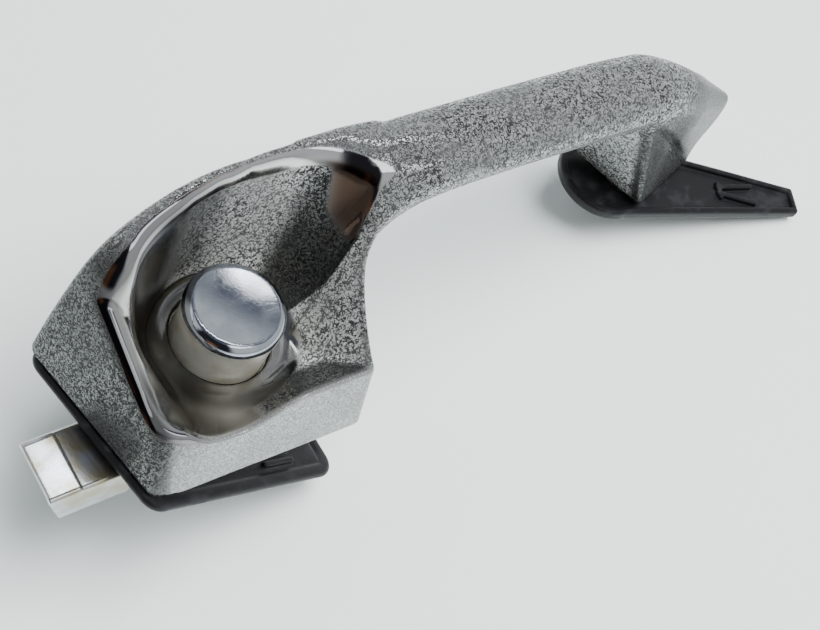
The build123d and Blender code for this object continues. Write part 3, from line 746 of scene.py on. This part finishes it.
CHROME = aged_chrome()
BY_SLOT = {
    "body_chrome": CHROME,
    "button_chrome": plated("button_chrome", (0.46, 0.48, 0.53), (0.38, 0.40, 0.44), 0.06),
    "barrel_nickel": plated("barrel_nickel", (0.90, 0.88, 0.78), (0.68, 0.63, 0.50), 0.32, 0.45),
    "bare_steel": plated("bare_steel", (0.48, 0.47, 0.46), (0.33, 0.29, 0.25), 0.38),
    "spring_steel": plated("spring_steel", (0.40, 0.40, 0.41), (0.28, 0.26, 0.24), 0.32),
    "screw_steel": plated("screw_steel", (0.55, 0.55, 0.54), (0.36, 0.33, 0.29), 0.34),
    "zinc_plate": plated("zinc_plate", (0.62, 0.64, 0.66), (0.45, 0.46, 0.46), 0.30),
    "bracket_zinc": plated("bracket_zinc", (0.58, 0.62, 0.70), (0.42, 0.38, 0.27), 0.12, 0.93),
    "yellow_zinc": plated("yellow_zinc", (0.68, 0.52, 0.22), (0.50, 0.44, 0.30), 0.30),
    "bush_nylon": rubber("bush_nylon", (0.42, 0.40, 0.34), 0.45),
    "seal_rubber": rubber("seal_rubber", (0.004, 0.004, 0.004), 0.75),
    "gasket_rubber": rubber("gasket_rubber", (0.007, 0.007, 0.008), 0.36),
}


def paint_parts():
    """Gives every CAD node the material of its slot."""
    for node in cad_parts.values():
        for slot in node.material_slots:
            key = slot.material.name.split(".")[0] if slot.material else ""
            slot.material = BY_SLOT.get(key, BY_SLOT["bare_steel"])


def shade_casting(casting, place):
    """Writes the MEASURES of the casting at each point, painted light and shade among them."""
    x, y, z = (place[:, i] for i in range(3))
    crest = scoop_distance(x, y, z) + housing_distance(x, y, z)
    angle = np.degrees(np.arctan2(y, x))
    near_ridge = -FLANK_EDGE(x, y, z)
    sill = ease(y, 17.0, 21.0) * ease(-x, -16.0, -8.0)
    flank = ease(-x, 16.0, 24.0) * ease(-near_ridge, -1.0, 0.0)
    outer = 0.8 + 1.8 * ease(x, 4.0, 22.0) + 1.2 * ease(-x, 16.0, 30.0)
    inner = -3.2 + 2.4 * sill
    rim = ease(crest, inner - 0.9, inner + 0.4) * (1.0 - ease(crest, outer - 0.6, outer + 0.6))
    rim = rim * (1.0 - flank) * ease(z, 11.0, 14.0) * (1.0 - 0.6 * sill)
    inside = ease(-crest, 0.6, 2.6)
    sector = ease(angle, -100.0, -34.0) * (1.0 - ease(angle, 70.0, 96.0))
    floor = ease(-np.hypot(x, y), -21.0, -17.0) * ease(-z, -9.6, -8.0)
    tip = ease(-x, 25.0, 30.0) * ease(z, 22.0, 30.0) * ease(near_ridge, 0.2, 1.4)
    polish = np.maximum(rim, inside * np.maximum(np.maximum(sector, floor), tip))
    polish = polish * ease(x, -47.0, -41.0)
    near_wall = ease(NEAR_WALL(x, y, z), -2.5, -0.6)
    fine = near_wall + ease(-x, 136.0, 148.0)
    rear_wall_shade = ease(np.maximum(REAR_WALL(x, y, z), REAR_CORNER(x, y, z)), -4.0, -1.5)
    rear_wall_shade = rear_wall_shade * (1.0 - inside)
    strip = ease(-SILL_STRIP(x, y, z), -1.2, -0.3) * ease(-crest, 0.3, 1.0) * ease(y, 13.5, 15.5)
    strip = strip * ease(-x, -12.0, 2.0)
    dark_wall_reflection = inside * ease(-angle, 136.0, 152.0) * ease(near_ridge, -0.5, 0.8)
    rear_bowl_shade = inside * ease(x, 0.0, 14.0) * (1.0 - strip)
    far_shade = ease(angle, -108.0, -86.0) * (1.0 - ease(angle, -50.0, -30.0)) * ease(z, 8.0, 14.0)
    off_bow = ease(bow_distance(x, y, z), 0.1, 1.1)
    foot = ease(-x, 118.0, 128.0) * ease(-z, -36.0, -33.0) * off_bow
    foot_side_shade = foot * ease(FOOT_SIDE(x, y, z), -4.5, -2.0) * ease(-z, -34.0, -30.0)
    nose = ease(-x, 128.0, 146.0) * (1.0 - foot)
    # painted light and shade inside the scoop: the bowl is painted lighter overall, and painted
    # darker for shade and dark reflections towards its rear, on the far wall, on its near rear
    # part, on the floor round the button, on the sill strip, at the bow's root and at the tip
    bowl = 1.15 - 0.30 * rear_bowl_shade - 0.72 * far_shade
    bowl = bowl - 0.55 * inside * ease(x, 2.0, 16.0) * ease(y, 4.0, 12.0)
    bowl = bowl * (1.0 - flank) + 0.66 * flank
    bowl = bowl * (1.0 - 0.60 * floor) * (1.0 - 0.70 * strip)
    bowl = bowl * (1.0 - 0.84 * dark_wall_reflection) * (1.0 - 0.4 * tip)
    # painted light and shade on the outer skin: painted shade on the rear wall, the nose and the
    # foot's hollow side, painted light on the foot and, a little, on the near wall
    skin = 0.66 * (1.0 - 0.62 * rear_wall_shade) * (1.0 + 0.02 * near_wall) * (1.0 - 0.78 * nose)
    skin = skin * (1.0 + 0.7 * foot) * (1.0 - 0.84 * foot_side_shade)
    painted_light_shade = bowl * inside + skin * (1.0 - inside)
    # painted reflection: the polished rim is painted darker towards the rear
    painted_light_shade = np.clip(painted_light_shade * (1.0 - 0.35 * rim * ease(x, -2.0, 14.0)), 0.10, 1.2)
    matt = np.maximum(foot * (1.0 - foot_side_shade), 0.7 * inside * (1.0 - dark_wall_reflection) * (1.0 - strip))
    # brown tint at the scoop's tip and along the outer edge of the rim polish
    rim_edge = 3.2 * rim * (1.0 - rim) * ease(crest, -0.5, 0.5) * ease(x, -20.0, 4.0)
    brown_tint = np.clip(0.8 * tip * inside + rim_edge, 0.0, 0.9) * ease(z, 11.0, 15.0)
    for name, values in zip(MEASURES, (polish, np.minimum(fine, 1.0), painted_light_shade, matt, brown_tint)):
        layer = casting.data.attributes.new(name, "FLOAT", "POINT")
        layer.data.foreach_set("value", values.astype(np.float32))


make_camera()
casting = make_casting()
casting.data.materials.append(CHROME)
paint_parts()
make_spring()

# the other sculpted pieces: CAD node, body, slot, shape, and the box in mm that holds the shape
FINE = 0.4
BUTTON_CAP_BOX = ((-13, -13, 17), (13, 13, 23))
BUTTON_BARREL_BOX = ((-13, -13, -3), (13, 13, 20))
REAR_GASKET_BOX = ((-42, -27, -36), (42, 34, 4))
FRONT_GASKET_BOX = ((-200, -26, -6), (-120, 22, 2))
BRACKET_BOX = ((15, 1, -20), (49, 20, 0))
PIECES = (
    ("button_cap", "button", "button_chrome", cap_distance, BUTTON_CAP_BOX),
    ("button_barrel", "button", "barrel_nickel", barrel_distance, BUTTON_BARREL_BOX),
    ("rear_gasket", "rear_pad", "gasket_rubber", rear_gasket_distance, REAR_GASKET_BOX),
    ("front_gasket", "front_pad", "gasket_rubber", tray_distance, FRONT_GASKET_BOX),
    ("mounting_bracket", "housing", "bracket_zinc", bracket_distance, BRACKET_BOX),
)
for node, body, slot, distance, (low, high) in PIECES:
    piece = make_piece(node, body, distance, low, high, FINE)
    piece.data.materials.append(BY_SLOT[slot])


# ------------------------------------------------------------------ floor, lights and world
FLOOR_TILT = math.radians(10.1)
FLOOR_HEIGHT = -0.0402
FIGURE_AZIMUTH = 0.52
PANE_AZIMUTH = 1.75
LAMP_WAY = (-0.30, -0.22, 0.928)


def make_stage():
    """The pale table, tilted so that the handle rests on its gasket and its mechanism."""
    bpy.ops.mesh.primitive_plane_add(size=3.0, location=(0, 0, FLOOR_HEIGHT))
    floor = bpy.context.object
    floor.name = "floor"
    floor.rotation_euler = (0.0, FLOOR_TILT, 0.0)
    material, shader = surface("table")
    grain = shader.noise(6.0, 3.0)
    color = shader.mix(grain, (0.83, 0.90, 0.89), (0.87, 0.93, 0.92))
    finish_surface(shader, Base_Color=color, Roughness=0.55)
    floor.data.materials.append(material)
    floor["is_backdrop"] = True


def make_world():
    """A pale room: dark ceiling, a lamp, a bright pane, a dark figure beside the table."""
    world = bpy.data.worlds.new("studio")
    SCENE.world = world
    shader = Shader(world)
    way = shader.add("TexCoord", out=0)
    east, north, up = shader.add("SeparateXYZ", inputs={0: way}).node.outputs
    azimuth = shader.math("ARCTAN2", north, east)
    room = shader.mix(shader.step(up, -0.1, 0.5), (0.66, 0.69, 0.69), (0.90, 0.95, 0.96))
    room = shader.mix(shader.step(up, 0.74, 0.84), room, (0.17, 0.19, 0.24))
    turn = shader.math("ABSOLUTE", shader.minus(azimuth, FIGURE_AZIMUTH))
    beside = shader.step(turn, 0.52, 0.80, 1.0, 0.0)
    height = shader.times(shader.step(up, -0.10, 0.04), shader.step(up, 0.80, 0.93, 1.0, 0.0))
    warm = shader.times(
        shader.step(turn, 0.0, 0.30, 1.0, 0.0), shader.step(up, 0.30, 0.45, 1.0, 0.0)
    )
    dark = shader.mix(warm, (0.028, 0.028, 0.034), (0.30, 0.14, 0.07))
    color = shader.mix(shader.times(beside, height), room, dark)
    lamp = shader.step(shader.apart(way, LAMP_WAY), 0.09, 0.16, 1.0, 0.0)
    color = shader.mix(lamp, color, (9.0, 9.2, 9.2))
    aside = shader.math("ABSOLUTE", shader.minus(azimuth, PANE_AZIMUTH))
    pane = shader.step(aside, 0.50, 0.62, 1.0, 0.0)
    pane = shader.times(pane, shader.step(up, 0.78, 0.81))
    pane = shader.times(pane, shader.step(up, 0.89, 0.92, 1.0, 0.0))
    color = shader.mix(pane, color, (3.4, 3.5, 3.5))
    seen = shader.add("LightPath", out=0)
    color = shader.mix(seen, color, (0.72, 0.79, 0.785))
    background = shader.tree.nodes["Background"]
    shader.set(background.inputs["Color"], color)
    background.inputs["Strength"].default_value = 1.0


def make_lights():
    """One large soft lamp above, which reflections don't show."""
    lamp = bpy.data.lights.new("softbox", "AREA")
    lamp.energy = 19.0
    lamp.size = 0.6
    box = bpy.data.objects.new("softbox", lamp)
    box.location = (-0.12, 0.12, 0.9)
    box.rotation_euler = (Vector((0, 0, 0)) - box.location).to_track_quat("-Z", "Y").to_euler()
    box.visible_glossy = False
    SCENE.collection.objects.link(box)


make_stage()
make_world()
make_lights()

low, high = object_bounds()
